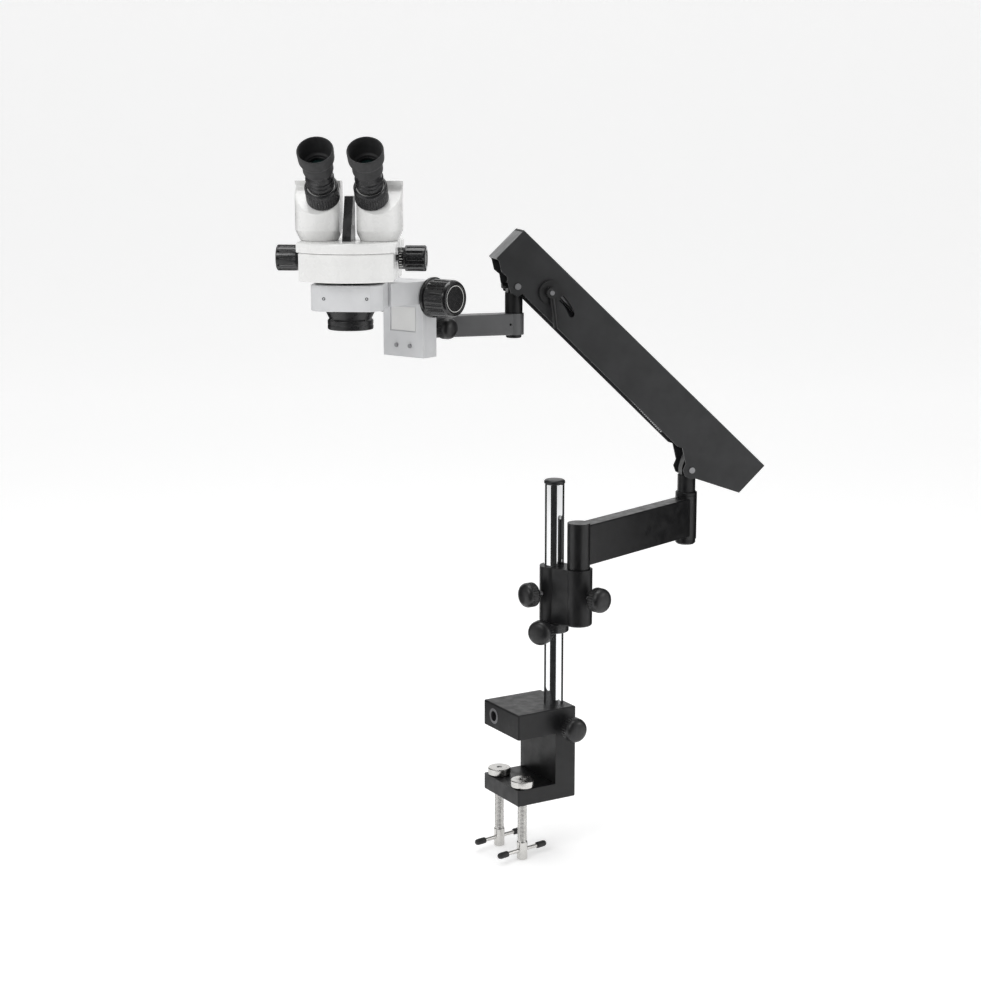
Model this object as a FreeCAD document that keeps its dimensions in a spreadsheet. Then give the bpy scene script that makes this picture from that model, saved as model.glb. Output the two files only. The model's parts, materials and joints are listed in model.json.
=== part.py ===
import FreeCAD, Part
import math
import os
from types import SimpleNamespace

import Sketcher
from FreeCAD import Placement, Rotation, Vector

# A stereo zoom microscope on a spring-balanced arm, held to a table edge by a clamp.
# Origin: centre of the upper jaw's underside, which rests on the table. +Z is up and -X is
# the side the table comes in from.
SIZES = {
    # clamp
    "jaw_depth": 55, "column_depth": 30, "clamp_width": 84, "upper_jaw": 32, "jaw_gap": 66,
    "lower_jaw": 21, "clamp_edge": 2, "socket_radius": 10, "socket_bore": 6.5, "socket_depth": 22,
    "socket_y": 18, "socket_z": 16,
    # pillar and its cap
    "pillar_radius": 12.5, "pillar_height": 282, "pillar_depth": 40, "pillar_x": 43,
    "pillar_y": -11.5, "cap_thick": 5, "cap_lip": 0.7,
    # fits between pieces
    "running_gap": 0.05, "joint_gap": 0.3, "seat_gap": 0.02,
    # clamping knobs
    "knob_radius": 15.5, "knob_height": 24, "stud_radius": 3, "knob_standoff": 6,
    "lock_knob_z": 8,
    # clamp screws
    "screw_radius": 6, "screw_x": -13, "screw_y": 28, "screw_length": 96, "hub_radius": 6.8,
    "hub_length": 24, "bar_radius": 2.5, "bar_length": 62, "bar_turn": 8, "grip_radius": 4,
    "grip_length": 15, "pad_radius": 14.5, "pad_thick": 9, "pad_rest": 0.5, "tip_radius": 4,
    # height collar and carrier
    "collar_height": 12.5, "collar_radius": 19, "collar_z": 125, "collar_knob_turn": 212,
    "carrier_height": 72, "carrier_wall": 5.7, "arm_bore_offset": 36, "carrier_turn": -65.3,
    "post_knob_turn": 181, "arm_knob_turn": -78, "carrier_knob_z": 38, "spindle_radius": 11,
    "spindle_length": 58,
    # lower arm
    "arm_turn": 19.2, "arm_length": 233, "arm_width": 24, "arm_height": 51, "boss_radius": 14.25,
    "boss_height": 58, "arm_step": 4, "ring_thick": 5, "tail_thick": 7,
    # knuckles and parallelogram
    "beam_turn": 163.1, "beam_rise": 46.1, "beam_length": 341, "crank_length": 45,
    "crank_tilt": 18, "shaft_radius": 11.85, "knuckle_drop": 31.3, "journal_radius": 9,
    "tongue_width": 14, "tongue_radius": 9, "pivot_pin_radius": 4, "link_pin_radius": 3,
    "upper_drop": 35, "upper_shaft_radius": 11.3, "upper_journal_radius": 8,
    "stop_screw_radius": 3.5, "stop_screw_reach": 7,
    # spring beam
    "cover_half": 20.5, "cover_wall": 2, "end_plate": 2.5, "slot_half": 4, "slot_up": 6,
    "slot_down": 54, "bolt_place": 285, "bolt_radius": 3, "disc_radius": 15, "disc_thick": 4,
    "lever_hub_radius": 7, "lever_hub": 8, "lever_length": 45, "lever_turn": 8, "lever_tip": 3.2,
    "bolt_drop": 15,
    "link_radius": 8, "link_thick": 3, "spring_radius": 5, "spring_wire": 0.9,
    "spring_pitch": 3.2, "spring_turns": 44, "spring_start": 62, "spring_lift": 13,
    # front arm
    "front_turn": 166.5, "front_length": 115, "front_height": 27, "front_width": 24,
    "front_eye": 13, "mount_spindle_radius": 7, "mount_knob_radius": 13.5,
    "mount_knob_turn": -71, "mount_knob_standoff": 8,
    # focus mount
    "mount_turn": 200.7, "face_reach": 45, "bracket_thick": 11, "rail_width": 65,
    "rail_height": 95, "rail_thick": 20, "rail_low": 468, "front_plate": 5, "slide_gap": 0.2,
    "tail_depth": 5, "tail_mouth": 12, "tail_flare": 3, "rack_thick": 2, "rack_half": 5,
    "pinion_radius": 4.9, "focus_z": 542.5, "focus_shaft_radius": 3.5, "drum_radius": 25,
    "drum_length": 38, "drum_flange": 4, "drum_flute": 1.6,
    # holder ring
    "ring_reach": 96, "ring_half": 42.9, "ring_corner": 52, "ring_bore": 38, "ring_low": 535.5,
    "ring_height": 31, "holder_arm_half": 27, "label_depth": 1.2, "label_width": 42,
    "label_height": 32, "cap_screw_radius": 2.6, "cap_screw_head": 1.6, "cap_screw_apart": 22,
    # zoom head
    "head_turn": -124.8, "nose_radius": 37.7, "body_half": 56.5, "body_front": 60,
    "body_back": 52, "body_round": 74, "lower_height": 33.5, "upper_height": 12.5,
    "body_flare": 2.5, "groove_height": 4, "groove_radius": 41, "body_cavity": 46,
    "body_wall": 4, "body_roof": 2.5, "seam_gap": 0.4,
    # objective
    "cell_top_radius": 31, "cell_waist": 25.5, "cell_rim": 27.5, "cell_taper": 11.5,
    "cell_rim_height": 13, "thread_radius": 24, "thread_depth": 8, "lens_radius": 21,
    "lens_thick": 6,
    # zoom drive
    "zoom_shaft_radius": 4, "zoom_knob_radius": 15.5, "zoom_knob_length": 26,
    "zoom_collar": 7, "zoom_drum_radius": 5, "zoom_drum_half": 20, "zoom_z": 25.5,
    # prism housings and eyepieces
    "housing_axis": 31, "housing_shift": 5, "housing_radius": 28.6, "housing_back": 14,
    "housing_height": 70, "housing_face": 60, "housing_foot": 12, "housing_foot_inset": 6,
    "tube_shift": 2, "tube_out": 11, "tube_radius": 16.6, "tube_wall": 1.2, "tube_rise": 22,
    "diopter_radius": 20, "diopter_length": 24, "diopter_wall": 2.6, "eyepiece_radius": 17,
    "eyepiece_lift": 27, "eyepiece_body": 30, "cup_radius": 21.7, "cup_reach": 83,
    "cup_wall": 1.8, "eye_lens_radius": 12.5, "eye_lens_thick": 5, "prism_size": 26,
    "plate_half": 5.2, "plate_length": 40, "plate_height": 52,
    # rounded edges
    "arm_edge": 2, "cover_fold": 2, "body_edge": 1.5, "roof_edge": 3, "housing_edge": 2.5,
    "holder_edge": 1.2,
}


class Size:
    """A length or an angle: its value, and the sheet expression that gives it."""

    def __init__(self, value, text=None):
        self.value = float(value)
        self.text = text if text else repr(float(value))

    def _join(self, other, sign, value):
        return Size(value, f"({self.text} {sign} {other.text})")

    def __add__(self, other):
        other = size(other)
        return self._join(other, "+", self.value + other.value)

    def __radd__(self, other):
        return size(other) + self

    def __sub__(self, other):
        other = size(other)
        return self._join(other, "-", self.value - other.value)

    def __rsub__(self, other):
        return size(other) - self

    def __mul__(self, other):
        other = size(other)
        return self._join(other, "*", self.value * other.value)

    def __rmul__(self, other):
        return size(other) * self

    def __truediv__(self, other):
        other = size(other)
        return self._join(other, "/", self.value / other.value)

    def __neg__(self):
        return size(0) - self


def size(number):
    return number if isinstance(number, Size) else Size(number)


def sine(angle):
    return Size(math.sin(math.radians(size(angle).value)), f"sin({size(angle).text})")


def cosine(angle):
    return Size(math.cos(math.radians(size(angle).value)), f"cos({size(angle).text})")


doc = FreeCAD.newDocument("stereo_microscope")
sheet = doc.addObject("Spreadsheet::Sheet", "Sizes")
for row, (alias, number) in enumerate(SIZES.items(), 1):
    sheet.set(f"A{row}", alias)
    sheet.set(f"B{row}", str(number))
    sheet.setAlias(f"B{row}", alias)
doc.recompute()
S = SimpleNamespace(**{alias: Size(number, f"Sizes.{alias}") for alias, number in SIZES.items()})

TURNS = {
    "x": Rotation(Vector(0, 1, 0), 90),
    "y": Rotation(Vector(1, 0, 0), -90),
    "-y": Rotation(Vector(1, 0, 0), 90),
    "z": Rotation(),
}
PARTS = []


# ---------------------------------------------------------------- building helpers

def bind(thing, name, number):
    thing.setExpression(name, size(number).text)


def primitive(kind, sizes, at, turn):
    thing = doc.addObject(f"Part::{kind}", kind.lower())
    for name, number in sizes.items():
        bind(thing, name, number)
    thing.Placement = Placement(Vector(), turn)
    for axis, number in zip("xyz", at):
        bind(thing, f"Placement.Base.{axis}", number)
    return thing


def cylinder(radius, height, at=(0, 0, 0), axis="z"):
    return primitive("Cylinder", {"Radius": radius, "Height": height}, at, TURNS[axis])


def block(x, y, z):
    """A box given by its low and high side along each axis."""
    sides = {"Length": size(x[1]) - x[0], "Width": size(y[1]) - y[0], "Height": size(z[1]) - z[0]}
    return primitive("Box", sides, (x[0], y[0], z[0]), Rotation())


def fuse(*things):
    fused = doc.addObject("Part::MultiFuse", "fused")
    fused.Shapes = list(things)
    fused.Refine = True
    return fused


def cut(base, *tools):
    result = doc.addObject("Part::Cut", "cut")
    result.Base = base
    result.Tool = tools[0] if len(tools) == 1 else fuse(*tools)
    return result


def common(first, second):
    result = doc.addObject("Part::Common", "common")
    result.Base = first
    result.Tool = second
    return result


def group(*things):
    together = doc.addObject("Part::Compound", "group")
    together.Links = list(things)
    return together


def turned_by(thing, turn, at=(0, 0, 0)):
    """The same thing, turned in its own frame and then moved."""
    moved = group(thing)
    moved.Placement = Placement(Vector(*[size(number).value for number in at]), turn)
    return moved


def rounded(thing, radius, picks):
    """Rounds each edge whose mid-point the test picks."""
    doc.recompute()
    edges = []
    for index, edge in enumerate(thing.Shape.Edges, 1):
        middle = edge.valueAt((edge.FirstParameter + edge.LastParameter) / 2)
        if picks(middle):
            edges.append((index, size(radius).value, size(radius).value))
    fillet = doc.addObject("Part::Fillet", "rounded")
    fillet.Base = thing
    fillet.Edges = edges
    return fillet


def part(label, thing, frame):
    """Names a finished sub-part and sets it in its place."""
    thing.Label = label
    thing.Placement = frame
    PARTS.append(thing)


def origin_feature(body, role):
    return next(item for item in body.Origin.OriginFeatures if item.Role == role)


def outline(body, plane, points):
    """A closed sketch of straight lines, each corner tied to the sheet."""
    sketch = body.newObject("Sketcher::SketchObject", "outline")
    sketch.AttachmentSupport = [(origin_feature(body, plane), "")]
    sketch.MapMode = "FlatFace"
    corners = [(size(across), size(up)) for across, up in points]
    spots = [Vector(across.value, up.value) for across, up in corners]
    last = len(spots)
    for index, spot in enumerate(spots):
        sketch.addGeometry(Part.LineSegment(spot, spots[(index + 1) % last]))
    for index in range(last):
        sketch.addConstraint(Sketcher.Constraint("Coincident", index, 2, (index + 1) % last, 1))
    for index, (across, up) in enumerate(corners):
        for kind, number, axis in (("DistanceX", across, -2), ("DistanceY", up, -1)):
            if abs(number.value) < 1e-9:
                sketch.addConstraint(Sketcher.Constraint("PointOnObject", index, 1, axis))
            else:
                tie = Sketcher.Constraint(kind, -1, 1, index, 1, number.value)
                row = sketch.addConstraint(tie)
                sketch.setExpression(f"Constraints[{row}]", number.text)
    return sketch


def plate(plane, points, thickness, across_plane=True):
    """A body padded from an outline: to both sides of its plane, or from it upward."""
    body = doc.addObject("PartDesign::Body", "plate")
    pad = body.newObject("PartDesign::Pad", "pad")
    pad.Profile = outline(body, plane, points)
    pad.Midplane = across_plane
    bind(pad, "Length", thickness)
    return body


def turned(profile, flutes=None):
    """A body turned about Z from (radius, height) points, fluted round the side if asked.

    flutes = (count, pitch radius, flute radius, start height, length)
    """
    body = doc.addObject("PartDesign::Body", "turned")
    sketch = outline(body, "XZ_Plane", profile)
    solid = body.newObject("PartDesign::Revolution", "revolved")
    solid.Profile = sketch
    solid.ReferenceAxis = (sketch, ["V_Axis"])
    solid.Angle = 360
    if flutes:
        flute(body, *flutes)
    return body


def flute(body, count, pitch_radius, flute_radius, start, length):
    doc.recompute()
    before = body.Shape.Volume
    sketch = body.newObject("Sketcher::SketchObject", "flute")
    sketch.AttachmentSupport = [(origin_feature(body, "XY_Plane"), "")]
    sketch.MapMode = "FlatFace"
    bind(sketch, "AttachmentOffset.Base.z", start)
    centre = Vector(size(pitch_radius).value, 0)
    sketch.addGeometry(Part.Circle(centre, Vector(0, 0, 1), size(flute_radius).value))
    sketch.addConstraint(Sketcher.Constraint("PointOnObject", 0, 3, -1))
    reach = sketch.addConstraint(Sketcher.Constraint("DistanceX", -1, 1, 0, 3, centre.x))
    sketch.setExpression(f"Constraints[{reach}]", size(pitch_radius).text)
    wide = sketch.addConstraint(Sketcher.Constraint("Radius", 0, size(flute_radius).value))
    sketch.setExpression(f"Constraints[{wide}]", size(flute_radius).text)
    pocket = body.newObject("PartDesign::Pocket", "flute_cut")
    pocket.Profile = sketch
    pocket.Reversed = True
    bind(pocket, "Length", length)
    pattern = body.newObject("PartDesign::PolarPattern", "flutes")
    pattern.Originals = [pocket]
    pattern.Axis = (origin_feature(body, "Z_Axis"), [""])
    pattern.Angle = 360
    pattern.Occurrences = count
    body.Tip = pattern
    doc.recompute()
    if not body.Shape.Volume < before:
        raise ValueError("a flute cut nothing")


def frame_at(x, y, z, turn=0):
    spot = Vector(size(x).value, size(y).value, size(z).value)
    return Placement(spot, Rotation(Vector(0, 0, 1), size(turn).value))


def pointing(azimuth):
    """Turns +Z to lie level, toward an azimuth."""
    return Rotation(Vector(0, 0, 1), size(azimuth).value) * TURNS["x"]


def strut(length, radius, low, high):
    """A flat bar with round ends along +X, from one side of the XZ plane to the other."""
    bar = block((0, length), (low, high), (-radius, radius))
    ends = [cylinder(radius, high - low, (place, low, 0), "y") for place in (0, length)]
    return fuse(bar, *ends)


# ---------------------------------------------------------------- frames of the rest pose

block_top = S.upper_jaw
PILLAR = frame_at(S.pillar_x, S.pillar_y, 0)
collar_top = S.collar_z + S.collar_height
carrier_low = collar_top + S.joint_gap
carrier_top = carrier_low + S.carrier_height
COLLAR = PILLAR * frame_at(0, 0, S.collar_z)
CARRIER = PILLAR * frame_at(0, 0, carrier_low, S.carrier_turn)
arm_axis = (CARRIER * frame_at(S.arm_bore_offset, 0, 0)).Base
arm_low = carrier_top + S.joint_gap
LOWER_ARM = frame_at(arm_axis.x, arm_axis.y, arm_low, S.arm_turn)
far_axis = (LOWER_ARM * frame_at(S.arm_length, 0, 0)).Base
lower_pivot_z = arm_low + S.boss_height + S.joint_gap + S.ring_thick + S.knuckle_drop
LOWER_KNUCKLE = frame_at(far_axis.x, far_axis.y, lower_pivot_z, S.beam_turn)
RISE = Rotation(Vector(0, 1, 0), -S.beam_rise.value)
BEAM = LOWER_KNUCKLE * Placement(Vector(), RISE)
crank_turn = 90 + S.crank_tilt - S.beam_rise
crank_u = S.crank_length * cosine(crank_turn)
crank_w = S.crank_length * sine(crank_turn)
LINK = BEAM * frame_at(crank_u, 0, crank_w)
UPPER_KNUCKLE = BEAM * frame_at(S.beam_length, 0, 0) * Placement(Vector(), RISE.inverted())
LEVER = LINK * frame_at(S.bolt_place, 0, -S.bolt_drop) * Placement(Vector(), RISE.inverted())
upper_pivot = UPPER_KNUCKLE.Base
front_top = Size(upper_pivot.z) - S.upper_drop - S.joint_gap
front_low = front_top - S.front_height
FRONT_ARM = frame_at(upper_pivot.x, upper_pivot.y, front_low, S.front_turn)
mount_axis = (FRONT_ARM * frame_at(S.front_length, 0, 0)).Base
MOUNT = frame_at(mount_axis.x, mount_axis.y, 0, S.mount_turn)
ring_x = S.face_reach + S.ring_reach
HEAD = MOUNT * frame_at(ring_x, 0, 0, S.head_turn - S.mount_turn)
head_low = S.ring_low + S.ring_height + S.groove_height
upper_low = head_low + S.lower_height + S.seam_gap
housing_low = upper_low + S.upper_height + S.joint_gap
TILT = Rotation(Vector(0, 1, 0), 45)


def housing_frame(side):
    return HEAD * frame_at(0, side * S.housing_axis, housing_low)


def eyepiece_frame(side):
    spot = frame_at(S.tube_out, -side * S.tube_shift, S.housing_face - S.tube_out)
    return housing_frame(side) * spot * Placement(Vector(), TILT)


# ---------------------------------------------------------------- clamp and pillar

def clamp_frame():
    half = S.jaw_depth / 2
    back = half + S.column_depth
    foot = -(S.jaw_gap + S.lower_jaw)
    points = [(-half, 0), (-half, block_top), (back, block_top), (back, foot), (-half, foot),
              (-half, -S.jaw_gap), (half, -S.jaw_gap), (half, 0)]
    casting = plate("XZ_Plane", points, S.clamp_width)
    outer_x = {-half.value, back.value}
    outer_z = {block_top.value, foot.value}
    wide = S.clamp_width.value / 2

    def outside(middle):
        on_side = abs(abs(middle.y) - wide) < 1e-3
        on_end = any(abs(middle.x - spot) < 1e-3 for spot in outer_x)
        on_level = any(abs(middle.z - spot) < 1e-3 for spot in outer_z)
        return on_side + on_end + on_level >= 2

    casting = rounded(casting, S.clamp_edge, outside)
    bore = cylinder(S.pillar_radius + S.seat_gap, S.pillar_depth,
                    (S.pillar_x, S.pillar_y, block_top - S.pillar_depth))
    socket = cylinder(S.socket_radius, S.socket_depth, (-half, S.socket_y, S.socket_z), "x")
    stud = cylinder(S.stud_radius + S.joint_gap, S.clamp_width / 2 + S.pillar_y,
                    (S.pillar_x, -S.clamp_width / 2, S.lock_knob_z), "y")
    hole = S.screw_radius + S.joint_gap
    threads = [cylinder(hole, S.lower_jaw, (S.screw_x, side * S.screw_y, foot)) for side in (-1, 1)]
    part("clamp_frame", cut(casting, bore, socket, stud, *threads), Placement())


def accessory_socket():
    tube = turned([(S.socket_bore, 0), (S.socket_radius - S.seat_gap, 0),
                   (S.socket_radius - S.seat_gap, S.socket_depth), (S.socket_bore, S.socket_depth)])
    where = frame_at(-S.jaw_depth / 2, S.socket_y, S.socket_z)
    part("accessory_socket", tube, where * Placement(Vector(), TURNS["x"]))


def pillar():
    low = block_top - S.pillar_depth
    high = block_top + S.pillar_height
    edge = S.cap_lip
    part("pillar", turned([(0, low), (S.pillar_radius, low), (S.pillar_radius, high - edge),
                           (S.pillar_radius - edge, high), (0, high)]), PILLAR)
    rim = S.pillar_radius + S.cap_lip
    foot = high + S.seat_gap
    part("pillar_cap", turned([(0, foot), (rim, foot), (rim, foot + S.cap_thick * 0.7),
                               (rim - 2, foot + S.cap_thick), (0, foot + S.cap_thick)]), PILLAR)


def clamping_knob(label, frame, radius, reach):
    """A domed knob moulded on its stud. Its frame's +Z leads out of the held piece, and reach
    is how far the stud runs back from the knob."""
    rise = S.knob_height
    profile = [(0, -reach), (S.stud_radius, -reach), (S.stud_radius, 0), (radius * 0.55, 0),
               (radius * 0.58, rise * 0.14), (radius * 0.88, rise * 0.2), (radius, rise * 0.28),
               (radius, rise * 0.7), (radius * 0.93, rise * 0.82), (radius * 0.74, rise * 0.92),
               (radius * 0.42, rise * 0.98), (0, rise)]
    body = turned(profile, (24, radius + 0.5, 1.3, rise * 0.15, rise * 0.53))
    part(label, body, frame)


def pillar_lock_knob():
    face = S.clamp_width / 2
    reach = face + S.pillar_y - S.pillar_radius + S.knob_standoff - S.joint_gap
    where = frame_at(S.pillar_x, -face - S.knob_standoff, S.lock_knob_z)
    clamping_knob("pillar_lock_knob", where * Placement(Vector(), pointing(-90)),
                  S.knob_radius, reach)


def clamp_screw(name, side):
    where = frame_at(S.screw_x, side * S.screw_y, 0)
    pad_low = S.pad_rest - S.jaw_gap
    pad_top = pad_low + S.pad_thick
    pocket = S.tip_radius + S.running_gap * 2
    edge = 1
    pad = turned([(pocket, pad_low), (S.pad_radius - edge, pad_low), (S.pad_radius, pad_low + edge),
                  (S.pad_radius, pad_top - edge), (S.pad_radius - edge, pad_top),
                  (S.tip_radius - edge, pad_top), (S.tip_radius - edge, pad_top - 2),
                  (0, pad_top - 2), (0, pad_low + 5), (pocket, pad_low + 5)])
    part(f"clamp_pad_{name}", pad, where)
    neck = pad_low - S.joint_gap
    hub_top = neck - S.screw_length + S.hub_length
    hub_low = neck - S.screw_length
    rod = turned([(0, neck + 5), (S.tip_radius, neck + 5), (S.tip_radius, neck),
                  (S.screw_radius, neck), (S.screw_radius, hub_top), (S.hub_radius, hub_top - 1),
                  (S.hub_radius, hub_low + 1), (S.hub_radius - 1, hub_low), (0, hub_low)])
    bar_z = hub_low + S.hub_length / 2
    bar = cylinder(S.bar_radius, S.bar_length, (-S.bar_length / 2, 0, bar_z), "x")
    part(f"clamp_screw_{name}", fuse(rod, bar), where * frame_at(0, 0, 0, S.bar_turn))
    grips = []
    for end in (-1, 1):
        start = end * S.bar_length / 2 - S.grip_length / 2
        bore_start = start if end > 0 else start + S.grip_length / 2
        body = cylinder(S.grip_radius, S.grip_length, (start, 0, bar_z), "x")
        bore = cylinder(S.bar_radius + S.seat_gap, S.grip_length / 2, (bore_start, 0, bar_z), "x")
        grips.append(cut(body, bore))
    part(f"bar_grips_{name}", group(*grips), where * frame_at(0, 0, 0, S.bar_turn))


# ---------------------------------------------------------------- collar, carrier, lower arm

def height_collar():
    bore = S.pillar_radius + S.running_gap
    edge = 1
    ring = turned([(bore, 0), (S.collar_radius - edge, 0), (S.collar_radius, edge),
                   (S.collar_radius, S.collar_height - edge),
                   (S.collar_radius - edge, S.collar_height), (bore, S.collar_height)])
    drill = turned_by(cylinder(S.stud_radius + S.joint_gap, S.collar_radius + 1),
                      pointing(S.collar_knob_turn), (0, 0, S.collar_height / 2))
    part("height_collar", cut(ring, drill), COLLAR)
    reach = S.collar_radius - S.pillar_radius + S.knob_standoff - S.joint_gap
    out = frame_at(0, 0, S.collar_height / 2, S.collar_knob_turn)
    out = out * frame_at(S.collar_radius + S.knob_standoff, 0, 0) * Placement(Vector(), TURNS["x"])
    clamping_knob("collar_knob", COLLAR * out, S.knob_radius, reach)


def carrier():
    post_wall = S.pillar_radius + S.carrier_wall
    arm_wall = S.spindle_radius + S.carrier_wall + 0.8
    flank = S.spindle_radius + S.carrier_wall
    casting = fuse(cylinder(post_wall, S.carrier_height),
                   cylinder(arm_wall, S.carrier_height, (S.arm_bore_offset, 0, 0)),
                   block((0, S.arm_bore_offset), (-flank, flank), (0, S.carrier_height)))
    casting = rounded(casting, S.carrier_wall / 2, lambda middle: middle.z < 1e-3)
    post_bore = cylinder(S.pillar_radius + S.running_gap, S.carrier_height)
    floor = S.carrier_height - S.spindle_length
    arm_bore = cylinder(S.spindle_radius + S.running_gap, S.spindle_length,
                        (S.arm_bore_offset, 0, floor))
    drills = []
    for label, turn, axis_x, wall, core in (
            ("post_knob", S.post_knob_turn, size(0), post_wall, S.pillar_radius),
            ("arm_knob", S.arm_knob_turn, S.arm_bore_offset, arm_wall, S.spindle_radius)):
        level = (axis_x, 0, S.carrier_knob_z)
        azimuth = turn - S.carrier_turn
        drills.append(turned_by(cylinder(S.stud_radius + S.joint_gap, wall + 1),
                                pointing(azimuth), level))
        out = frame_at(*level, azimuth) * frame_at(wall + S.knob_standoff, 0, 0)
        reach = wall - core + S.knob_standoff - S.joint_gap
        clamping_knob(label, CARRIER * out * Placement(Vector(), TURNS["x"]), S.knob_radius, reach)
    part("carrier_block", cut(casting, post_bore, arm_bore, *drills), CARRIER)


def lower_arm():
    near = cylinder(S.boss_radius, S.boss_height)
    far = cylinder(S.boss_radius, S.boss_height, (S.arm_length, 0, 0))
    top = S.arm_step + S.arm_height
    bar = block((0, S.arm_length), (-S.arm_width / 2, S.arm_width / 2), (S.arm_step, top))
    seat = cylinder(S.spindle_radius, S.boss_height / 2)
    bore = cylinder(S.journal_radius + S.running_gap, S.boss_height, (S.arm_length, 0, 0))
    long_side = S.arm_length.value / 2
    bar = rounded(bar, S.arm_edge, lambda middle: abs(middle.x - long_side) < 1e-3)
    part("lower_arm", cut(fuse(near, far, bar), seat, bore), LOWER_ARM)
    low = S.joint_gap - S.spindle_length
    high = S.boss_height / 2 - S.seat_gap
    rim = S.spindle_radius - S.seat_gap
    part("arm_spindle", turned([(0, low), (rim - 1, low), (rim, low + 1), (rim, high), (0, high)]),
         LOWER_ARM)


def tongue(hole):
    """The knuckle blade between the two pivots of one end of the spring arm."""
    half = S.tongue_width / 2
    blade = strut(S.crank_length, S.tongue_radius, -half, half)
    blade = turned_by(blade, Rotation(Vector(0, 1, 0), -90 - S.crank_tilt.value))
    pin = cylinder(S.pivot_pin_radius + S.running_gap, S.tongue_width, (0, -half, 0), "y")
    far_pin = cylinder(hole, S.tongue_width,
                       (-S.crank_length * sine(S.crank_tilt), -half,
                        S.crank_length * cosine(S.crank_tilt)), "y")
    return blade, [pin, far_pin]


def lower_knuckle():
    blade, pins = tongue(S.link_pin_radius + S.running_gap)
    ring_low = -(S.knuckle_drop + S.ring_thick)
    tail_low = ring_low - S.joint_gap * 2 - S.boss_height
    post = turned([(0, tail_low - S.tail_thick), (S.boss_radius - 3, tail_low - S.tail_thick),
                   (S.boss_radius - 1, tail_low - S.tail_thick + 2), (S.boss_radius - 1, tail_low),
                   (S.journal_radius, tail_low), (S.journal_radius, ring_low),
                   (S.boss_radius, ring_low), (S.boss_radius, ring_low + S.ring_thick - 1),
                   (S.boss_radius - 1, ring_low + S.ring_thick),
                   (S.shaft_radius, ring_low + S.ring_thick), (S.shaft_radius, -S.tongue_radius),
                   (0, -S.tongue_radius)])
    neck = block((-S.tongue_radius, S.tongue_radius), (-S.tongue_width / 2, S.tongue_width / 2),
                 (-S.tongue_radius - 2, 0))
    part("lower_knuckle", cut(fuse(post, neck, blade), *pins), LOWER_KNUCKLE)


# ---------------------------------------------------------------- spring beam

def beam_cover():
    length = S.beam_length
    ear = S.tongue_radius + 3
    tall_low = size(74.6)
    tall_high = size(54.8)
    tail = size(-69)
    nose = length + 45
    points = [(tail, tall_low), (tail - 1, 25), (-ear, -4), (-ear * 0.6, -ear * 0.8),
              (0, -ear), (ear * 0.7, -ear * 0.7), (ear, 0), (31, 11), (37, 8), (length - 11, -2),
              (length - ear * 0.8, -ear * 0.7), (length, -ear), (length + ear * 0.75, -ear * 0.65),
              (length + 19, -1), (length + 28, -2), (length + 40, 5), (nose, 5),
              (nose, tall_high)]
    shell = plate("XZ_Plane", points, S.cover_half * 2)
    shell = rounded(shell, S.cover_fold,
                    lambda middle: middle.z > (tall_high.value + tall_low.value) / 2 - 1
                    and abs(middle.y) > S.cover_half.value - 1e-3 and 0 < middle.x < length.value)
    wall = S.cover_wall
    inside = [(tail - 3, tall_low - wall), (tail - 3, -30), (nose + 2, -30),
              (nose + 2, tall_high - wall)]
    hollow = plate("XZ_Plane", inside, S.cover_half * 2 - wall * 2)
    start = crank_turn - S.slot_up
    span = S.slot_up + S.slot_down
    sector = {"Radius": S.crank_length + S.slot_half, "Height": wall * 3, "Angle": span}
    turn = TURNS["-y"] * Rotation(Vector(0, 0, 1), start.value)
    outer = primitive("Cylinder", sector, (S.bolt_place, S.cover_half + wall, -S.bolt_drop), turn)
    inner = cylinder(S.crank_length - S.slot_half, wall * 5,
                     (S.bolt_place, S.cover_half - wall * 2, -S.bolt_drop), "y")
    ends = [cylinder(S.slot_half, wall * 3,
                     (S.bolt_place + S.crank_length * cosine(angle), S.cover_half - wall * 2,
                      S.crank_length * sine(angle) - S.bolt_drop), "y")
            for angle in (start, start + span)]
    slot = fuse(cut(outer, inner), *ends)
    pins = [cylinder(S.pivot_pin_radius + S.seat_gap, S.cover_half * 2 + 2,
                     (place, -S.cover_half - 1, 0), "y") for place in (size(0), length)]
    part("beam_cover", cut(shell, hollow, slot, *pins), BEAM)
    inner_half = S.cover_half - wall - S.seat_gap
    lower = block((tail, tail + S.end_plate), (-inner_half, inner_half), (26, tall_low - wall - 1))
    upper = block((nose - S.end_plate, nose), (-inner_half, inner_half), (5, tall_high - wall - 1))
    part("beam_end_plates", group(lower, upper), BEAM)


def beam_fittings():
    head = S.cover_half + 1.5
    pins = [cylinder(S.pivot_pin_radius, head * 2, (place, -head, 0), "y")
            for place in (size(0), S.beam_length)]
    reach = S.spring_turns * S.spring_pitch
    start = S.spring_start
    anchor_x = start + reach + 8
    inner_half = S.cover_half - S.cover_wall
    crossbar = cylinder(3.5, inner_half * 2, (anchor_x, -inner_half, S.spring_lift), "y")
    screw = cylinder(2, 16, (anchor_x - 8, 0, S.spring_lift), "x")
    part("beam_pins", group(*pins, fuse(crossbar, screw)), BEAM)
    coil = doc.addObject("Part::Helix", "coil")
    bind(coil, "Pitch", S.spring_pitch)
    bind(coil, "Height", reach)
    bind(coil, "Radius", S.spring_radius)
    wire = doc.addObject("Part::Circle", "wire")
    bind(wire, "Radius", S.spring_wire)
    wire.Placement = Placement(Vector(S.spring_radius.value, 0, 0), TURNS["-y"])
    sweep = doc.addObject("Part::Sweep", "spring_coil")
    sweep.Sections = [wire]
    doc.recompute()
    sweep.Spine = (coil, [f"Edge{index + 1}" for index in range(len(coil.Shape.Edges))])
    sweep.Solid = True
    sweep.Frenet = True
    lying = turned_by(sweep, TURNS["x"], (start, 0, S.spring_lift))
    part("tension_spring", group(lying), BEAM)


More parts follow.
